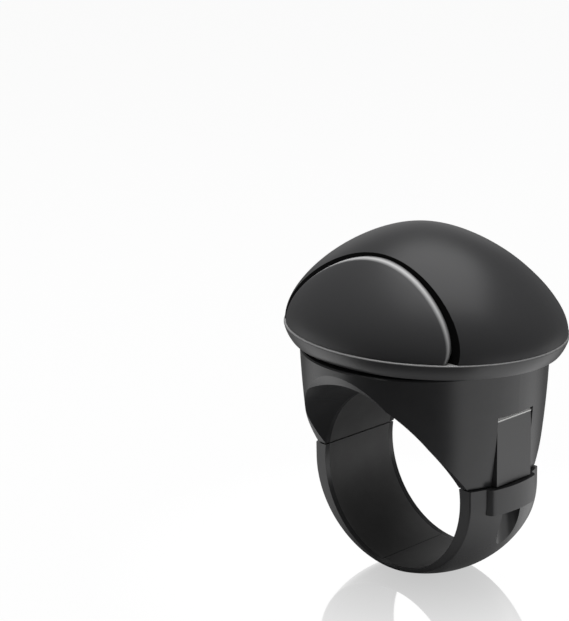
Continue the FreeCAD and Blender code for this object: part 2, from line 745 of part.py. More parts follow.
for shape, name in ((knob_shell(), "knob_shell"), (grip_panel(-1), "grip_panel_front"),
                    (grip_panel(1), "grip_panel_back")):
    feature = doc.addObject("Part::Feature", name + "_form")
    feature.Shape = shape
    piece(feature, name)


# Plate
# It closes the dome, and carries the bearing in a housing at its middle.
def oval(name, half_length, half_width, height):
    """An ellipse, turned a quarter if it is wider than it is long."""
    ellipse = doc.addObject("Part::Ellipse", name)
    ellipse.Placement.Rotation = Rotation(Vector(0, 0, 1), 90)
    bind(ellipse, "MajorRadius", "max(%s; %s)" % (half_length, half_width))
    bind(ellipse, "MinorRadius", "min(%s; %s)" % (half_length, half_width))
    bind(ellipse, "Placement.Rotation.Angle",
         "%s < %s ? 90 : 0" % (half_length, half_width))
    bind(ellipse, "Placement.Base.z", height)
    return ellipse


def oval_loft(name, *sections):
    """A closed solid through ovals, each given as half length, half width, height."""
    loft = doc.addObject("Part::Loft", name)
    loft.Sections = [oval("%s_%d" % (name, k), *section)
                     for k, section in enumerate(sections)]
    loft.Solid = True
    loft.Ruled = False
    return loft


half_taper = "(1 + plate_taper) / 2"
plate_length = "(dome_length / 2 + plate_reach)"
plate_width = "(dome_width / 2 + plate_reach)"
plate_side = oval_loft(
    "plate_side",
    (plate_length + " * plate_taper", plate_width + " * plate_taper",
     "rim_height - plate_height"),
    (plate_length + " * %s + plate_bulge" % half_taper,
     plate_width + " * %s + plate_bulge" % half_taper,
     "rim_height - plate_height / 2"),
    (plate_length, plate_width, "rim_height"),
)
plate_rim = new_body("plate_rim_body", plate_side)
dress(plate_rim, "Fillet", "plate_edge", "plate_edge_round",
      lambda p: abs(p.z - value("rim_height")) < 0.01)

# The rib follows the inside of the dome's wall
spigot_inset = "shell_wall + spigot_clearance"
rib_skin = doc.addObject("Part::Feature", "rib_skin")
rib_skin.Shape = dome(value(spigot_inset))
rib = common("rib", rib_skin, box(
    "rib_room", "-" + beyond, "2 * " + beyond, beyond, "rim_height", "spigot_height"))
well_length = "(dome_length / 2 - %s - spigot_wall)" % spigot_inset
well_width = "(dome_width / 2 - %s - spigot_wall)" % spigot_inset
well = oval_loft("well", (well_length, well_width, bearing_bottom),
                 (well_length, well_width, "rim_height + 2 * spigot_height"))
plate_open = cut("plate_open", fuse("plate_blank", plate_rim, rib), well)
housing_height = "bearing_width + ring_thickness + housing_lip"
housing = cylinder("housing", "bearing_radius + housing_wall", housing_height,
                   bearing_bottom)
seat = cylinder("bearing_seat", "bearing_radius", housing_height, bearing_bottom)
groove = cylinder("ring_seat", ring_outside + " + ring_play",
                  "ring_thickness + ring_play", bearing_top)
passage = cylinder("plate_passage", "spacer_radius + plate_hole_clearance",
                   bearing_bottom, "rim_height / 2")
plate_tools = fuse("plate_openings", seat, groove, passage)
piece(cut("plate_finished", fuse("plate_housed", plate_open, housing), plate_tools),
      "knob_plate")


# Check every object and write the pieces
doc.recompute()
faults = [item.Name for item in doc.Objects
          if "Invalid" in item.State or "Error" in item.State]
for feature in pieces:
    if feature.Shape.isNull() or not feature.Shape.isValid():
        faults.append(feature.Label)
if faults:
    raise ValueError("failed objects: " + ", ".join(faults))

os.makedirs("parts", exist_ok=True)
for feature in pieces:
    feature.Shape.exportStep("parts/%s.step" % feature.Label)
    print("%-22s %9.1f mm3 %3d solids" % (feature.Label, feature.Shape.Volume,
                                          len(feature.Shape.Solids)))
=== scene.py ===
import math

import bpy
from mathutils import Matrix, Vector


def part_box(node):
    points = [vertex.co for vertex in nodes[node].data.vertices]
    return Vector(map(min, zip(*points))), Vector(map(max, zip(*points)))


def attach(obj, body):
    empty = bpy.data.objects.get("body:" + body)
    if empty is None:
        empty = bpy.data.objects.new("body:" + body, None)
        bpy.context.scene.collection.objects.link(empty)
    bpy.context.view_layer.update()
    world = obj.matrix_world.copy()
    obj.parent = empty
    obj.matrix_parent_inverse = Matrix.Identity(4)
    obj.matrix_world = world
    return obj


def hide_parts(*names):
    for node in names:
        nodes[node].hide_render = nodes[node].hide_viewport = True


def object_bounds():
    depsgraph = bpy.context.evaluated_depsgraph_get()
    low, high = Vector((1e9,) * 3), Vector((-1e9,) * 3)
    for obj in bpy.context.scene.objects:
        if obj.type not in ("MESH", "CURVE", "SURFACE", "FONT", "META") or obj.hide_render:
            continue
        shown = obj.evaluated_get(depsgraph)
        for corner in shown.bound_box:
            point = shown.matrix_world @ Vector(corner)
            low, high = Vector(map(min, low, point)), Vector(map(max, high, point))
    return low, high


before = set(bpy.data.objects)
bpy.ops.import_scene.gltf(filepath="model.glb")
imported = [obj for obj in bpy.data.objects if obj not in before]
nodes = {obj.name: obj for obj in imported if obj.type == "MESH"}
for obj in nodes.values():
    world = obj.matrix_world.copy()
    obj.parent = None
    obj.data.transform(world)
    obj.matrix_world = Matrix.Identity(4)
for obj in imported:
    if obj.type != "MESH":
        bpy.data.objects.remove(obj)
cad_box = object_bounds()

mm = 0.001


# Camera
# A long lens a little above the knob, turned so that one leg of the clamp and the
# far side of its bore show. The bore's centre lies low and right in the picture.
picture_width = 569
picture_height = 621
pixels_per_mm = 4.5586
bore_centre_pixel = (424.63, 467.31)
camera_distance = 449.7
camera_azimuth = math.radians(46.70)
camera_elevation = math.radians(16.14)
camera_roll = math.radians(-1.22)
sensor_height = 36.0

back = Vector((math.sin(camera_azimuth) * math.cos(camera_elevation),
               -math.cos(camera_azimuth) * math.cos(camera_elevation),
               math.sin(camera_elevation)))
level = Vector((math.cos(camera_azimuth), math.sin(camera_azimuth), 0))
upright = back.cross(level)
right = math.cos(camera_roll) * level + math.sin(camera_roll) * upright
up = math.cos(camera_roll) * upright - math.sin(camera_roll) * level
bore_right = (bore_centre_pixel[0] - picture_width / 2) / pixels_per_mm
bore_up = (picture_height / 2 - bore_centre_pixel[1]) / pixels_per_mm
stand = camera_distance * back - bore_right * right - bore_up * up

lens = bpy.data.cameras.new("camera")
lens.sensor_width = sensor_height
lens.lens = pixels_per_mm * camera_distance * sensor_height / picture_height
lens.clip_start = 0.01
camera = bpy.data.objects.new("camera", lens)
camera.matrix_world = Matrix((
    (right.x, up.x, back.x, stand.x * mm),
    (right.y, up.y, back.y, stand.y * mm),
    (right.z, up.z, back.z, stand.z * mm),
    (0, 0, 0, 1),
))
bpy.context.scene.collection.objects.link(camera)
bpy.context.scene.camera = camera
bpy.context.scene.view_settings.view_transform = "Standard"


# Clamp mouldings
# The saddle and the strap are moulded in black glass-filled nylon from a spark-
# eroded tool. The strap is drawn up to the saddle by two screws.
def linear(hex_colour):
    """An sRGB colour written as hex, as linear red, green, blue and alpha."""
    shares = [int(hex_colour[k:k + 2], 16) / 255 for k in (1, 3, 5)]
    return [s / 12.92 if s <= 0.04045 else ((s + 0.055) / 1.055) ** 2.4 for s in shares] + [1]


def add_node(material, kind, settings=None, **links):
    """A shader node with its settings. Its sockets are linked or set by their names,
    or by their numbers, as _0 and _1, where the names are alike."""
    tree = material.node_tree
    node = tree.nodes.new(kind)
    for name, setting in (settings or {}).items():
        setattr(node, name, setting)
    for name, source in links.items():
        socket = node.inputs[int(name[1:]) if name[0] == "_" else name.replace("_", " ")]
        if isinstance(source, bpy.types.NodeSocket):
            tree.links.new(source, socket)
        else:
            socket.default_value = source
    return node


def new_material(name):
    """A material without any nodes yet."""
    material = bpy.data.materials.new(name)
    material.use_nodes = True
    material.node_tree.nodes.clear()
    return material


def finish(material, *names):
    """Gives a material to nodes of the frame."""
    for name in names:
        for slot in nodes[name].material_slots:
            slot.material = material


def glass_filled_nylon():
    """Black nylon with a fine eroded grain. The eye gets a dull, even satin with a
    faint cloudiness where the fibres lie differently."""
    grain_size = 0.22 * mm
    cloud_size = 9 * mm
    material = new_material("glass_filled_nylon")
    place = add_node(material, "ShaderNodeTexCoord").outputs["Object"]
    grain = add_node(material, "ShaderNodeTexNoise", Vector=place, Scale=1 / grain_size,
                     Detail=3.0, Roughness=0.6)
    bump = add_node(material, "ShaderNodeBump", Height=grain.outputs["Fac"],
                    Strength=0.22, Distance=0.012 * mm)
    cloud = add_node(material, "ShaderNodeTexNoise", Vector=place, Scale=1 / cloud_size,
                     Detail=4.0)
    colour = add_node(material, "ShaderNodeValToRGB", Fac=cloud.outputs["Fac"])
    colour.color_ramp.elements[0].color = linear("#363637")
    colour.color_ramp.elements[0].position = 0.3
    colour.color_ramp.elements[1].color = linear("#3c3c3d")
    colour.color_ramp.elements[1].position = 0.7
    sheen = add_node(material, "ShaderNodeMapRange", Value=cloud.outputs["Fac"],
                     To_Min=0.24, To_Max=0.28)
    surface = add_node(material, "ShaderNodeBsdfPrincipled",
                       Base_Color=colour.outputs["Color"], Roughness=sheen.outputs["Result"],
                       Normal=bump.outputs["Normal"], IOR=1.42)
    add_node(material, "ShaderNodeOutputMaterial", Surface=surface.outputs["BSDF"])
    return material


finish(glass_filled_nylon(), "clamp_saddle", "clamp_strap")


# Dome
# The palm's cover is moulded in ABS with a smooth satin skin. The side walls of its
# two recesses, along the slits, are painted near black as shade.
rim_height = 32.9 * mm
wall_distance = 17.5 * mm
wall_lean = 0.247


def satin_abs():
    """Smooth ABS. The eye gets a broad soft highlight that fades evenly to the rim,
    with a barely uneven gloss left by the flow of the plastic."""
    grain_size = 0.12 * mm
    flow_size = 14 * mm
    wall_film = 0.05 * mm
    material = new_material("satin_abs")
    place = add_node(material, "ShaderNodeTexCoord").outputs["Object"]
    grain = add_node(material, "ShaderNodeTexNoise", Vector=place, Scale=1 / grain_size,
                     Detail=2.0)
    bump = add_node(material, "ShaderNodeBump", Height=grain.outputs["Fac"],
                    Strength=0.12, Distance=0.006 * mm)
    flow = add_node(material, "ShaderNodeTexNoise", Vector=place, Scale=1 / flow_size,
                    Detail=3.0, Distortion=0.8)
    sheen = add_node(material, "ShaderNodeMapRange", Value=flow.outputs["Fac"],
                     To_Min=0.33, To_Max=0.38)

    # How far a point lies from the leaning plane of a recess's side wall
    axes = add_node(material, "ShaderNodeSeparateXYZ", Vector=place)
    outwards = add_node(material, "ShaderNodeMath", {"operation": "ABSOLUTE"},
                        _0=axes.outputs["Y"])
    lean = add_node(material, "ShaderNodeMath", {"operation": "MULTIPLY_ADD"},
                    _0=axes.outputs["Z"], _1=wall_lean,
                    _2=-wall_distance - wall_lean * rim_height)
    offset = add_node(material, "ShaderNodeMath", {"operation": "ADD"},
                      _0=outwards.outputs[0], _1=lean.outputs[0])
    wall = add_node(material, "ShaderNodeMath", {"operation": "COMPARE"},
                    _0=offset.outputs[0], _1=0.0, _2=wall_film)

    skin = add_node(material, "ShaderNodeBsdfPrincipled", Roughness=sheen.outputs["Result"],
                    Normal=bump.outputs["Normal"], IOR=1.28, Base_Color=linear("#3a3a3b"))
    # Painted shade: within the film, the recess's side wall is drawn near black, as if in the
    # slit's shadow
    painted_wall_shade = add_node(material, "ShaderNodeBsdfPrincipled", Roughness=0.9, IOR=1.2,
                    Base_Color=linear("#070707"))
    both = add_node(material, "ShaderNodeMixShader", Fac=wall.outputs[0],
                    _1=skin.outputs["BSDF"], _2=painted_wall_shade.outputs["BSDF"])
    add_node(material, "ShaderNodeOutputMaterial", Surface=both.outputs["Shader"])
    return material


finish(satin_abs(), "knob_shell")


# Grip panels
# Two lobe-shaped panels glued into the dome's recesses, moulded apart and painted
# with a soft-touch lacquer. Their edge along the slit rolls over softly: near the
# lobe's top it lies close to the recess's wall, and lower down it leaves more of it.
half_length = 32.75 * mm
half_width = 27.25 * mm
dome_height = 22.2 * mm
dome_upright = 0.404
dome_crown = 0.427
panel_drop = 0.1 * mm
panel_base = 1.7 * mm
foot_clearance = 0.1 * mm
slit = 0.08 * mm
wall_shown_low = 2.4 * mm
wall_shown_top = 0.8 * mm
roll_low = 3.1 * mm
roll_top = 2.6 * mm
columns = 96
skin_rows = 24
roll_rows = 14
first_angle = -0.08
# Where across and along the rolled edge a pale highlight is painted into the colour
highlight_middle = 0.45
highlight_reach = 0.42
highlight_fade = 0.4
deepest_wall = 5 * mm
least_step = 0.05 * mm
smooth_angle = math.radians(50)
merge_distance = 0.002 * mm
cut_threshold = 0.001 * mm


def between(low, high, inside):
    """The place between low and high where inside stops being true."""
    for _ in range(40):
        middle = (low + high) / 2
        low, high = (middle, high) if inside(middle) else (low, middle)
    return low


def dome_radius(height, inset):
    """The dome's half length at a height above its rim, for a skin that lies deeper."""
    top = dome_height - inset
    long = half_length - inset

    def below(t):
        risen = 3 * dome_upright * (1 - t) ** 2 * t + 3 * (1 - t) * t * t + t ** 3
        return top * risen < height

    t = between(0, 1, below)
    return long * ((1 - t) ** 3 + 3 * (1 - t) ** 2 * t + 3 * dome_crown * (1 - t) * t * t)


def on_skin(x, z, inset):
    """The point of the dome's front over x and z, both taken from its rim's middle."""
    squash = (half_width - inset) / (half_length - inset)
    square = dome_radius(z, inset) ** 2 - x * x
    return Vector((x, -squash * math.sqrt(max(square, 0)), z))


def on_edge(angle):
    """The point of the recess's edge seen under an angle from the rim's middle."""
    def outside_wall(reach):
        x = reach * math.cos(angle)
        z = reach * math.sin(angle)
        return -on_skin(x, z, 0).y > wall_distance - wall_lean * z

    reach = between(0, half_length, outside_wall)
    return on_skin(reach * math.cos(angle), reach * math.sin(angle), 0)


def panel_column(angle, lobe_top):
    """The points of a panel's section from the rim's middle over its edge and back."""
    step = 0.01
    edge = on_edge(angle)
    along = (on_edge(angle + step) - on_edge(angle - step)).normalized()
    beside = least_step
    skin_x = on_skin(edge.x + beside, edge.z, 0) - on_skin(edge.x - beside, edge.z, 0)
    skin_z = on_skin(edge.x, edge.z + beside, 0) - on_skin(edge.x, edge.z - beside, 0)
    outwards = skin_x.cross(skin_z).normalized()
    wall_side = Vector((0, -1, -wall_lean)).normalized()
    down_wall = wall_side.cross(along).normalized()
    if down_wall.dot(Vector((0, -wall_distance, 0)) - edge) < 0:
        down_wall.negate()
    over_skin = outwards.cross(along).normalized()
    if over_skin.y > 0:
        over_skin.negate()

    share = max(edge.z / lobe_top, 0) ** 3
    shown = wall_shown_low + (wall_shown_top - wall_shown_low) * share
    rolled = roll_low + (roll_top - roll_low) * share
    start = edge + rolled * over_skin
    start = on_skin(start.x, start.z, panel_drop)
    foot = edge + shown * down_wall + slit * wall_side
    level = over_skin * (foot - start).dot(over_skin)
    fall = outwards * (foot - start).dot(outwards)
    shift = foot - start - level - fall

    def above_base(depth):
        point = edge + depth * down_wall + slit * wall_side
        return on_skin(point.x, point.z, panel_base).y > point.y

    deepest = max(between(0, deepest_wall, above_base), shown + least_step)
    base = edge + deepest * down_wall + slit * wall_side

    points = [on_skin(start.x * k / skin_rows, start.z * k / skin_rows, panel_drop)
              for k in range(skin_rows)]
    for k in range(roll_rows + 1):
        turn = math.pi / 2 * k / roll_rows
        points.append(start + (level + shift) * math.sin(turn) + fall * (1 - math.cos(turn)))
    points += [base]
    points += [on_skin(base.x * k / skin_rows, base.z * k / skin_rows, panel_base)
               for k in range(skin_rows - 1, -1, -1)]
    return points


lobe_top = on_edge(math.pi / 2).z
angle_step = (math.pi - 2 * first_angle) / columns
sections = [panel_column(first_angle + angle_step * k, lobe_top) for k in range(columns + 1)]
rows = len(sections[0])


def grip_panel(name, side):
    """A closed panel in the recess on one side, which is -1 for the front."""
    bpy.ops.object.select_all(action="DESELECT")
    bpy.ops.mesh.primitive_grid_add(x_subdivisions=columns, y_subdivisions=rows - 1, size=1)
    panel = bpy.context.active_object
    panel.name = name
    painted_highlight = []
    for vertex in panel.data.vertices:
        column = round((vertex.co.x + 0.5) * columns)
        row = round((vertex.co.y + 0.5) * (rows - 1))
        point = sections[column][row]
        vertex.co = (point.x, -side * point.y, rim_height + point.z)
        # A highlight painted into the colour, strongest partway round the roll
        roll_turn = math.pi / 2 * min(max((row - skin_rows) / roll_rows, 0), 1)
        along = math.sin(math.pi * column / columns) ** highlight_fade
        painted_highlight.append(along * max(0, 1 - abs(math.sin(roll_turn) - highlight_middle) / highlight_reach))
    panel.data.attributes.new("painted_highlight", "FLOAT", "POINT").data.foreach_set("value", painted_highlight)
    bpy.ops.object.mode_set(mode="EDIT")
    bpy.ops.mesh.select_all(action="SELECT")
    bpy.ops.mesh.remove_doubles(threshold=merge_distance)
    bpy.ops.mesh.select_all(action="SELECT")
    bpy.ops.mesh.bisect(plane_co=(0, 0, rim_height + foot_clearance), plane_no=(0, 0, 1),
                        clear_inner=True, use_fill=True, threshold=cut_threshold)
    bpy.ops.mesh.select_all(action="SELECT")
    bpy.ops.mesh.normals_make_consistent(inside=False)
    bpy.ops.object.mode_set(mode="OBJECT")
    bpy.ops.object.shade_smooth_by_angle(angle=smooth_angle)
    return panel


def soft_touch_lacquer():
    """A dull lacquer over ABS. The eye gets an even tone with hardly a highlight, but
    for the rolled edge, where a pale highlight is painted into the colour."""
    grain_size = 0.16 * mm
    cloud_size = 6 * mm
    material = new_material("soft_touch_lacquer")
    place = add_node(material, "ShaderNodeTexCoord").outputs["Object"]
    grain = add_node(material, "ShaderNodeTexNoise", Vector=place, Scale=1 / grain_size,
                     Detail=3.0, Roughness=0.65)
    bump = add_node(material, "ShaderNodeBump", Height=grain.outputs["Fac"],
                    Strength=0.2, Distance=0.01 * mm)
    cloud = add_node(material, "ShaderNodeTexNoise", Vector=place, Scale=1 / cloud_size,
                     Detail=3.0)
    sheen = add_node(material, "ShaderNodeMapRange", Value=cloud.outputs["Fac"],
                     To_Min=0.37, To_Max=0.43)
    # Painted highlight along the rolled edge, read from the points
    painted_highlight = add_node(material, "ShaderNodeAttribute", {"attribute_name": "painted_highlight"})
    colour = add_node(material, "ShaderNodeValToRGB", Fac=painted_highlight.outputs["Fac"])
    colour.color_ramp.elements[0].color = linear("#404041")
    colour.color_ramp.elements[1].color = linear("#d0d0d0")
    surface = add_node(material, "ShaderNodeBsdfPrincipled", Roughness=sheen.outputs["Result"],
                       Normal=bump.outputs["Normal"], IOR=1.3,
                       Base_Color=colour.outputs["Color"])
    add_node(material, "ShaderNodeOutputMaterial", Surface=surface.outputs["BSDF"])
    return material


lacquer = soft_touch_lacquer()
for name, side, solid in (("lobe_panel_front", -1, "grip_panel_front"),
                          ("lobe_panel_back", 1, "grip_panel_back")):
    panel = grip_panel(name, side)
    panel.data.materials.append(lacquer)
    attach(panel, "knob")
    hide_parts(solid)


# Plate
# The moulded plate closes the dome from below and carries the bearing. Its upper
# edge stands a little beyond the dome; a highlight painted on it shows as a thin
# light line.
def abs_with_painted_edge():
    """ABS from a finer tool than the clamp's. The eye gets a satin side with faint
    level draw marks from the tool, and a pale highlight painted on its upper edge."""
    painted_edge_band = 0.34 * mm
    edge_round = 0.05 * mm
    mark_size = 0.3 * mm
    mark_length = 12 * mm
    material = new_material("abs_with_painted_edge")
    place = add_node(material, "ShaderNodeTexCoord").outputs["Object"]
    turned = add_node(material, "ShaderNodeMapping", Vector=place)
    turned.inputs["Scale"].default_value = (1 / mark_length, 1 / mark_length, 1 / mark_size)
    marks = add_node(material, "ShaderNodeTexNoise", Vector=turned.outputs["Vector"],
                     Scale=1.0, Detail=3.0)
    bump = add_node(material, "ShaderNodeBump", Height=marks.outputs["Fac"],
                    Strength=0.15, Distance=0.01 * mm)
    sheen = add_node(material, "ShaderNodeMapRange", Value=marks.outputs["Fac"],
                     To_Min=0.3, To_Max=0.36)
    # Painted highlight: the colour turns pale towards the top of the plate's edge
    height = add_node(material, "ShaderNodeSeparateXYZ", Vector=place).outputs["Z"]
    edge = add_node(material, "ShaderNodeMapRange", Value=height,
                    From_Min=rim_height - painted_edge_band, From_Max=rim_height - edge_round)
    colour = add_node(material, "ShaderNodeValToRGB", Fac=edge.outputs["Result"])
    colour.color_ramp.elements[0].color = linear("#3c3c3d")
    colour.color_ramp.elements[1].color = linear("#a2a2a2")
    surface = add_node(material, "ShaderNodeBsdfPrincipled", Roughness=sheen.outputs["Result"],
                       Normal=bump.outputs["Normal"], IOR=1.46,
                       Base_Color=colour.outputs["Color"])
    add_node(material, "ShaderNodeOutputMaterial", Surface=surface.outputs["BSDF"])
    return material


finish(abs_with_painted_edge(), "knob_plate")


# Liners
# Thin rubber pads glued inside the ring, so that it grips the wheel's rim without
# marking it. The two lower pads meet at a seam near the bottom.
def grip_rubber():
    """Calendered rubber sheet. The eye gets a flat dark grey, dustier in places."""
    grain_size = 0.3 * mm
    dust_size = 5 * mm
    material = new_material("grip_rubber")
    place = add_node(material, "ShaderNodeTexCoord").outputs["Object"]
    grain = add_node(material, "ShaderNodeTexNoise", Vector=place, Scale=1 / grain_size,
                     Detail=4.0, Roughness=0.7)
    bump = add_node(material, "ShaderNodeBump", Height=grain.outputs["Fac"],
                    Strength=0.3, Distance=0.015 * mm)
    dust = add_node(material, "ShaderNodeTexNoise", Vector=place, Scale=1 / dust_size,
                    Detail=5.0)
    colour = add_node(material, "ShaderNodeValToRGB", Fac=dust.outputs["Fac"])
    colour.color_ramp.elements[0].color = linear("#525252")
    colour.color_ramp.elements[0].position = 0.35
    colour.color_ramp.elements[1].color = linear("#5a5a5a")
    colour.color_ramp.elements[1].position = 0.75
    surface = add_node(material, "ShaderNodeBsdfPrincipled",
                       Base_Color=colour.outputs["Color"], Roughness=0.5,
                       Normal=bump.outputs["Normal"], IOR=1.5)
    add_node(material, "ShaderNodeOutputMaterial", Surface=surface.outputs["BSDF"])
    return material


finish(grip_rubber(), "liner_top", "liner_left", "liner_right")


# Nut blocks
# Die-cast zinc blocks in slots of the saddle's legs, coated black in a dip tank.
# The clamp screws turn into them.
def black_dip_coat():
    """A baked black coat on cast zinc. The eye gets a slightly wavy satin, and a pale
    highlight painted from just under the foot of the top bevel upwards."""
    painted_line_band = 0.3 * mm
    block_bevel = 0.7 * mm
    bevel_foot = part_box("nut_block_right")[1][2] - block_bevel
    wave_size = 0.9 * mm
    material = new_material("black_dip_coat")
    place = add_node(material, "ShaderNodeTexCoord").outputs["Object"]
    wave = add_node(material, "ShaderNodeTexNoise", Vector=place, Scale=1 / wave_size,
                    Detail=1.0)
    bump = add_node(material, "ShaderNodeBump", Height=wave.outputs["Fac"],
                    Strength=0.15, Distance=0.02 * mm)
    sheen = add_node(material, "ShaderNodeMapRange", Value=wave.outputs["Fac"],
                     To_Min=0.33, To_Max=0.38)
    # Painted highlight: pale from just under the foot of the block's top bevel upwards
    height = add_node(material, "ShaderNodeSeparateXYZ", Vector=place).outputs["Z"]
    edge = add_node(material, "ShaderNodeMapRange", Value=height,
                    From_Min=bevel_foot - painted_line_band, From_Max=bevel_foot - painted_line_band / 2)
    colour = add_node(material, "ShaderNodeValToRGB", Fac=edge.outputs["Result"])
    colour.color_ramp.elements[0].color = linear("#363637")
    colour.color_ramp.elements[1].color = linear("#ececea")
    surface = add_node(material, "ShaderNodeBsdfPrincipled", Roughness=sheen.outputs["Result"],
                       Normal=bump.outputs["Normal"], IOR=1.5,
                       Base_Color=colour.outputs["Color"])
    add_node(material, "ShaderNodeOutputMaterial", Surface=surface.outputs["BSDF"])
    return material


finish(black_dip_coat(), "nut_block_left", "nut_block_right")


# Clamp screws
# Socket-head screws in black oxide steel, reached through the channels below the
# bosses.
def black_oxide_steel():
    """Blackened steel. The eye gets a dark oily metal with fine turning marks."""
    mark_size = 0.15 * mm
    material = new_material("black_oxide_steel")
    place = add_node(material, "ShaderNodeTexCoord").outputs["Object"]
    stretched = add_node(material, "ShaderNodeMapping", Vector=place)
    stretched.inputs["Scale"].default_value = (0.1, 0.1, 1.0)
    marks = add_node(material, "ShaderNodeTexNoise", Vector=stretched.outputs["Vector"],
                     Scale=1 / mark_size, Detail=2.0)
    bump = add_node(material, "ShaderNodeBump", Height=marks.outputs["Fac"],
                    Strength=0.3, Distance=0.01 * mm)
    surface = add_node(material, "ShaderNodeBsdfPrincipled", Metallic=1.0, Roughness=0.38,
                       Normal=bump.outputs["Normal"], Base_Color=linear("#3c3c3f"))
    add_node(material, "ShaderNodeOutputMaterial", Surface=surface.outputs["BSDF"])
    return material


finish(black_oxide_steel(), "clamp_screw_left", "clamp_screw_right")


# Spindle
# The hexagon-head bolt, its spacer, washer and lock nut, all zinc-plated steel.
rings_per_scale = 20


def bright_zinc_plate():
    """Zinc plate over turned steel. The eye gets a cool bright metal, ringed by the
    lathe and clouded by the bath."""
    ring_size = 0.25 * mm
    cloud_size = 2.5 * mm
    material = new_material("bright_zinc_plate")
    place = add_node(material, "ShaderNodeTexCoord").outputs["Object"]
    rings = add_node(material, "ShaderNodeTexWave",
                     {"wave_type": "RINGS", "rings_direction": "Z"},
                     Vector=place, Scale=1 / ring_size / rings_per_scale, Distortion=0.3)
    bump = add_node(material, "ShaderNodeBump", Height=rings.outputs["Fac"],
                    Strength=0.15, Distance=0.01 * mm)
    cloud = add_node(material, "ShaderNodeTexNoise", Vector=place, Scale=1 / cloud_size,
                     Detail=4.0)
    colour = add_node(material, "ShaderNodeValToRGB", Fac=cloud.outputs["Fac"])
    colour.color_ramp.elements[0].color = linear("#b4b8bc")
    colour.color_ramp.elements[1].color = linear("#c9ccce")
    surface = add_node(material, "ShaderNodeBsdfPrincipled", Metallic=1.0, Roughness=0.28,
                       Normal=bump.outputs["Normal"], Base_Color=colour.outputs["Color"])
    add_node(material, "ShaderNodeOutputMaterial", Surface=surface.outputs["BSDF"])
    return material


finish(bright_zinc_plate(), "spindle_bolt", "spindle_spacer", "spindle_washer", "lock_nut")


# Bearing
# A deep-groove ball bearing of ground steel, with thin steel shields, and the
# phosphated ring that holds it in the plate.
def ground_steel():
    """Hard steel, ground round. The eye gets a near mirror with hair-fine rings."""
    ring_size = 0.1 * mm
    material = new_material("ground_steel")
    place = add_node(material, "ShaderNodeTexCoord").outputs["Object"]
    rings = add_node(material, "ShaderNodeTexWave",
                     {"wave_type": "RINGS", "rings_direction": "Z"},
                     Vector=place, Scale=1 / ring_size / rings_per_scale, Distortion=0.2)
    bump = add_node(material, "ShaderNodeBump", Height=rings.outputs["Fac"],
                    Strength=0.08, Distance=0.005 * mm)
    surface = add_node(material, "ShaderNodeBsdfPrincipled", Metallic=1.0, Roughness=0.16,
                       Normal=bump.outputs["Normal"], Base_Color=linear("#bfbfbd"))
    add_node(material, "ShaderNodeOutputMaterial", Surface=surface.outputs["BSDF"])
    return material


def phosphated_spring_steel():
    """Spring steel under a grey phosphate. The eye gets a dull crystalline grey."""
    crystal_size = 0.2 * mm
    material = new_material("phosphated_spring_steel")
    place = add_node(material, "ShaderNodeTexCoord").outputs["Object"]
    crystals = add_node(material, "ShaderNodeTexVoronoi", Vector=place,
                        Scale=1 / crystal_size)
    sheen = add_node(material, "ShaderNodeMapRange", Value=crystals.outputs["Distance"],
                     To_Min=0.45, To_Max=0.6)
    surface = add_node(material, "ShaderNodeBsdfPrincipled", Metallic=1.0,
                       Roughness=sheen.outputs["Result"], Base_Color=linear("#4a4a4d"))
    add_node(material, "ShaderNodeOutputMaterial", Surface=surface.outputs["BSDF"])
    return material


finish(ground_steel(), "bearing_inner_race", "bearing_outer_race", "bearing_balls",
       "bearing_shield_lower", "bearing_shield_upper")
finish(phosphated_spring_steel(), "retaining_ring")


# Cage and nut collar
# The two small nylon pieces: the cage between the balls and the ring in the nut.
def natural_nylon():
    """Uncoloured nylon. The eye gets a warm milky white, softly glossy."""
    cloud_size = 1.5 * mm
    material = new_material("natural_nylon")
    place = add_node(material, "ShaderNodeTexCoord").outputs["Object"]
    cloud = add_node(material, "ShaderNodeTexNoise", Vector=place, Scale=1 / cloud_size,
                     Detail=3.0)
    colour = add_node(material, "ShaderNodeValToRGB", Fac=cloud.outputs["Fac"])
    colour.color_ramp.elements[0].color = linear("#d8d2c0")
    colour.color_ramp.elements[1].color = linear("#e4dfd0")
    surface = add_node(material, "ShaderNodeBsdfPrincipled", Roughness=0.42, IOR=1.53,
                       Base_Color=colour.outputs["Color"])
    add_node(material, "ShaderNodeOutputMaterial", Surface=surface.outputs["BSDF"])
    return material


finish(natural_nylon(), "bearing_cage", "lock_nut_collar")


# Floor
# A white sheet lit from below, as on a light table, but for a dark mask in front of
# the object. The camera sees it white, with the object's shadow and mirror image.
floor_height = cad_box[0][2]
mask_azimuth = math.radians(18.5)
shade_azimuth = camera_azimuth + math.radians(175)
glow_level = 1.35
mask_level = 0.05
mask_level_at_foot = 0.7
back_level = 0.5
white_level = 1.08
white_share = 0.88
mirror_at_foot = 1.0
mirror_reach = 75 * mm

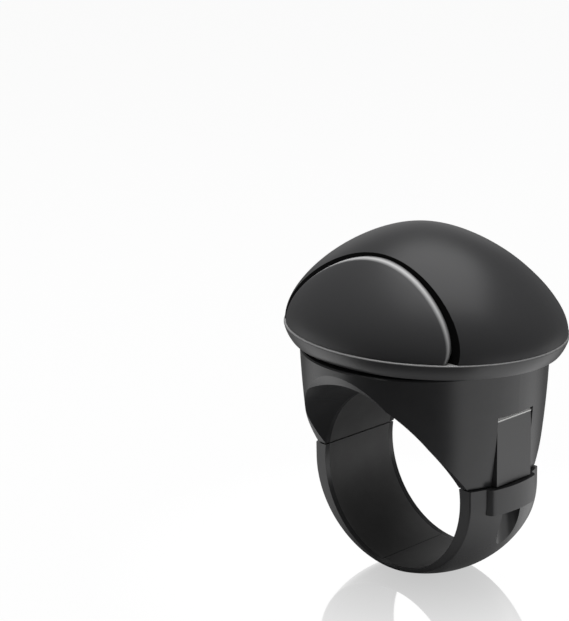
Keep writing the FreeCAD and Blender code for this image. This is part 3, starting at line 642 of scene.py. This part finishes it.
# What the object sees: a glow, less of it in front, at the shaded side and underfoot
floor_sheet = new_material("white_acrylic_sheet")
rays = add_node(floor_sheet, "ShaderNodeLightPath")
place = add_node(floor_sheet, "ShaderNodeTexCoord").outputs["Object"]
heading = add_node(floor_sheet, "ShaderNodeVectorMath", {"operation": "NORMALIZE"}, _0=place)
reach = add_node(floor_sheet, "ShaderNodeVectorMath", {"operation": "LENGTH"}, _0=place)
ahead = add_node(floor_sheet, "ShaderNodeVectorMath", {"operation": "DOT_PRODUCT"},
                 _0=heading.outputs["Vector"],
                 _1=(math.sin(mask_azimuth), -math.cos(mask_azimuth), 0))
mask = add_node(floor_sheet, "ShaderNodeMapRange", {"interpolation_type": "SMOOTHSTEP"},
                Value=reach.outputs["Value"], From_Min=45 * mm, From_Max=70 * mm,
                To_Min=mask_level_at_foot, To_Max=mask_level)
glow = add_node(floor_sheet, "ShaderNodeMapRange", {"interpolation_type": "SMOOTHSTEP"},
                Value=ahead.outputs["Value"], From_Min=0.58, From_Max=0.75,
                To_Min=glow_level, To_Max=mask.outputs["Result"])
behind = add_node(floor_sheet, "ShaderNodeVectorMath", {"operation": "DOT_PRODUCT"},
                  _0=heading.outputs["Vector"],
                  _1=(math.sin(shade_azimuth), -math.cos(shade_azimuth), 0))
open_side = add_node(floor_sheet, "ShaderNodeMapRange", {"interpolation_type": "SMOOTHSTEP"},
                     Value=behind.outputs["Value"], From_Min=0.2, From_Max=0.8,
                     To_Min=1.0, To_Max=0.1)
foot = add_node(floor_sheet, "ShaderNodeMapRange", {"interpolation_type": "SMOOTHSTEP"},
                Value=reach.outputs["Value"], From_Min=12 * mm, From_Max=55 * mm,
                To_Min=0.08, To_Max=1.0)
dimmed = add_node(floor_sheet, "ShaderNodeMath", {"operation": "MULTIPLY"},
                  _0=open_side.outputs["Result"], _1=foot.outputs["Result"])
level_of_glow = add_node(floor_sheet, "ShaderNodeMath", {"operation": "MULTIPLY"},
                         _0=glow.outputs["Result"], _1=dimmed.outputs[0])
table = add_node(floor_sheet, "ShaderNodeEmission", Color=linear("#ffffff"),
                 Strength=level_of_glow.outputs[0])

# What the camera sees: white with a little shadow, and a mirror image that fades
# outwards. The white makes room for what the mirror brings back from the far wall.
lit = add_node(floor_sheet, "ShaderNodeBsdfDiffuse", Color=linear("#a0a0a0"))
nearness = add_node(floor_sheet, "ShaderNodeMapRange", Value=reach.outputs["Value"],
                    From_Max=mirror_reach, To_Min=mirror_at_foot, To_Max=0.0)
slant = add_node(floor_sheet, "ShaderNodeLayerWeight")
grazing = add_node(floor_sheet, "ShaderNodeMapRange", Value=slant.outputs["Facing"],
                   From_Min=0.15, From_Max=0.55)
mirror_share = add_node(floor_sheet, "ShaderNodeMath", {"operation": "MULTIPLY"},
                        _0=nearness.outputs["Result"], _1=grazing.outputs["Result"])
left_over = add_node(floor_sheet, "ShaderNodeMath", {"operation": "MULTIPLY_ADD"},
                     _0=mirror_share.outputs[0], _1=-back_level, _2=white_level)
white = add_node(floor_sheet, "ShaderNodeEmission", Color=linear("#ffffff"),
                 Strength=left_over.outputs[0])
shaded = add_node(floor_sheet, "ShaderNodeMixShader", Fac=white_share,
                  _1=lit.outputs["BSDF"], _2=white.outputs["Emission"])
tint = add_node(floor_sheet, "ShaderNodeCombineColor", Red=mirror_share.outputs[0],
                Green=mirror_share.outputs[0], Blue=mirror_share.outputs[0])
gloss = add_node(floor_sheet, "ShaderNodeBsdfGlossy", Color=tint.outputs["Color"],
                 Roughness=0.05)
mirrored = add_node(floor_sheet, "ShaderNodeAddShader",
                    _0=shaded.outputs["Shader"], _1=gloss.outputs["BSDF"])
whole = add_node(floor_sheet, "ShaderNodeMixShader", Fac=rays.outputs["Is Camera Ray"],
                 _1=table.outputs["Emission"], _2=mirrored.outputs["Shader"])
add_node(floor_sheet, "ShaderNodeOutputMaterial", Surface=whole.outputs["Shader"])

bpy.ops.object.select_all(action="DESELECT")
bpy.ops.mesh.primitive_plane_add(size=4, location=(0, 0, floor_height))
floor = bpy.context.active_object
floor.name = "studio_floor"
floor.data.materials.append(floor_sheet)


# Studio light
# A dim room with low bright walls behind and beside the object, open and dark
# towards its front, and one wide soft box above.
room_level = 0.13
wall_level = 0.05
dark_azimuth = math.radians(12)
back_azimuth = camera_azimuth + math.pi
back_rise = 0.3

# The side walls, brighter near the floor and missing in front
room = bpy.data.worlds.new("studio_room")
bpy.context.scene.world = room
room.use_nodes = True
room.node_tree.nodes.clear()
direction = add_node(room, "ShaderNodeTexCoord").outputs["Generated"]
axes = add_node(room, "ShaderNodeSeparateXYZ", Vector=direction)
low = add_node(room, "ShaderNodeMapRange", {"interpolation_type": "SMOOTHSTEP"},
               Value=axes.outputs["Z"], From_Min=0.1, From_Max=0.45, To_Min=1.0, To_Max=0.0)
front = add_node(room, "ShaderNodeVectorMath", {"operation": "DOT_PRODUCT"},
                 _0=direction, _1=(math.sin(dark_azimuth), -math.cos(dark_azimuth), 0))
beside = add_node(room, "ShaderNodeMapRange", {"interpolation_type": "SMOOTHSTEP"},
                  Value=front.outputs["Value"], From_Min=0.4, From_Max=0.65,
                  To_Min=1.0, To_Max=0.0)
walls = add_node(room, "ShaderNodeMath", {"operation": "MULTIPLY"},
                 _0=low.outputs["Result"], _1=beside.outputs["Result"])

# The lit spot on the far wall, which the floor mirrors towards the camera
far = add_node(room, "ShaderNodeVectorMath", {"operation": "DOT_PRODUCT"},
               _0=direction, _1=(math.sin(back_azimuth), -math.cos(back_azimuth), back_rise))
back_wall = add_node(room, "ShaderNodeMapRange", {"interpolation_type": "SMOOTHSTEP"},
                     Value=far.outputs["Value"], From_Min=0.93, From_Max=1.0,
                     To_Min=0.0, To_Max=back_level)
sides = add_node(room, "ShaderNodeMath", {"operation": "MULTIPLY_ADD"},
                 _0=walls.outputs[0], _1=wall_level, _2=room_level)
brightness = add_node(room, "ShaderNodeMath", {"operation": "MAXIMUM"},
                      _0=sides.outputs[0], _1=back_wall.outputs["Result"])

# The camera itself sees plain white
rays = add_node(room, "ShaderNodeLightPath")
light = add_node(room, "ShaderNodeBackground", Strength=brightness.outputs[0],
                 Color=linear("#ffffff"))
plain = add_node(room, "ShaderNodeBackground", Strength=1.0, Color=linear("#ffffff"))
shown = add_node(room, "ShaderNodeMixShader", Fac=rays.outputs["Is Camera Ray"],
                 _1=light.outputs["Background"], _2=plain.outputs["Background"])
add_node(room, "ShaderNodeOutputWorld", Surface=shown.outputs["Shader"])


def soft_box(name, place, target, size, power):
    """A rectangular lamp that is aimed at a point."""
    light = bpy.data.lights.new(name, "AREA")
    light.shape = "RECTANGLE"
    light.size = size[0]
    light.size_y = size[1]
    light.energy = power
    holder = bpy.data.objects.new(name, light)
    direction = Vector(target) - Vector(place)
    holder.matrix_world = (Matrix.Translation(place)
                           @ direction.to_track_quat("-Z", "Y").to_matrix().to_4x4())
    bpy.context.scene.collection.objects.link(holder)


soft_box("top_box", (-0.03, 0.03, 0.55), (0, 0, 0.03), (0.5, 0.5), 3.3)
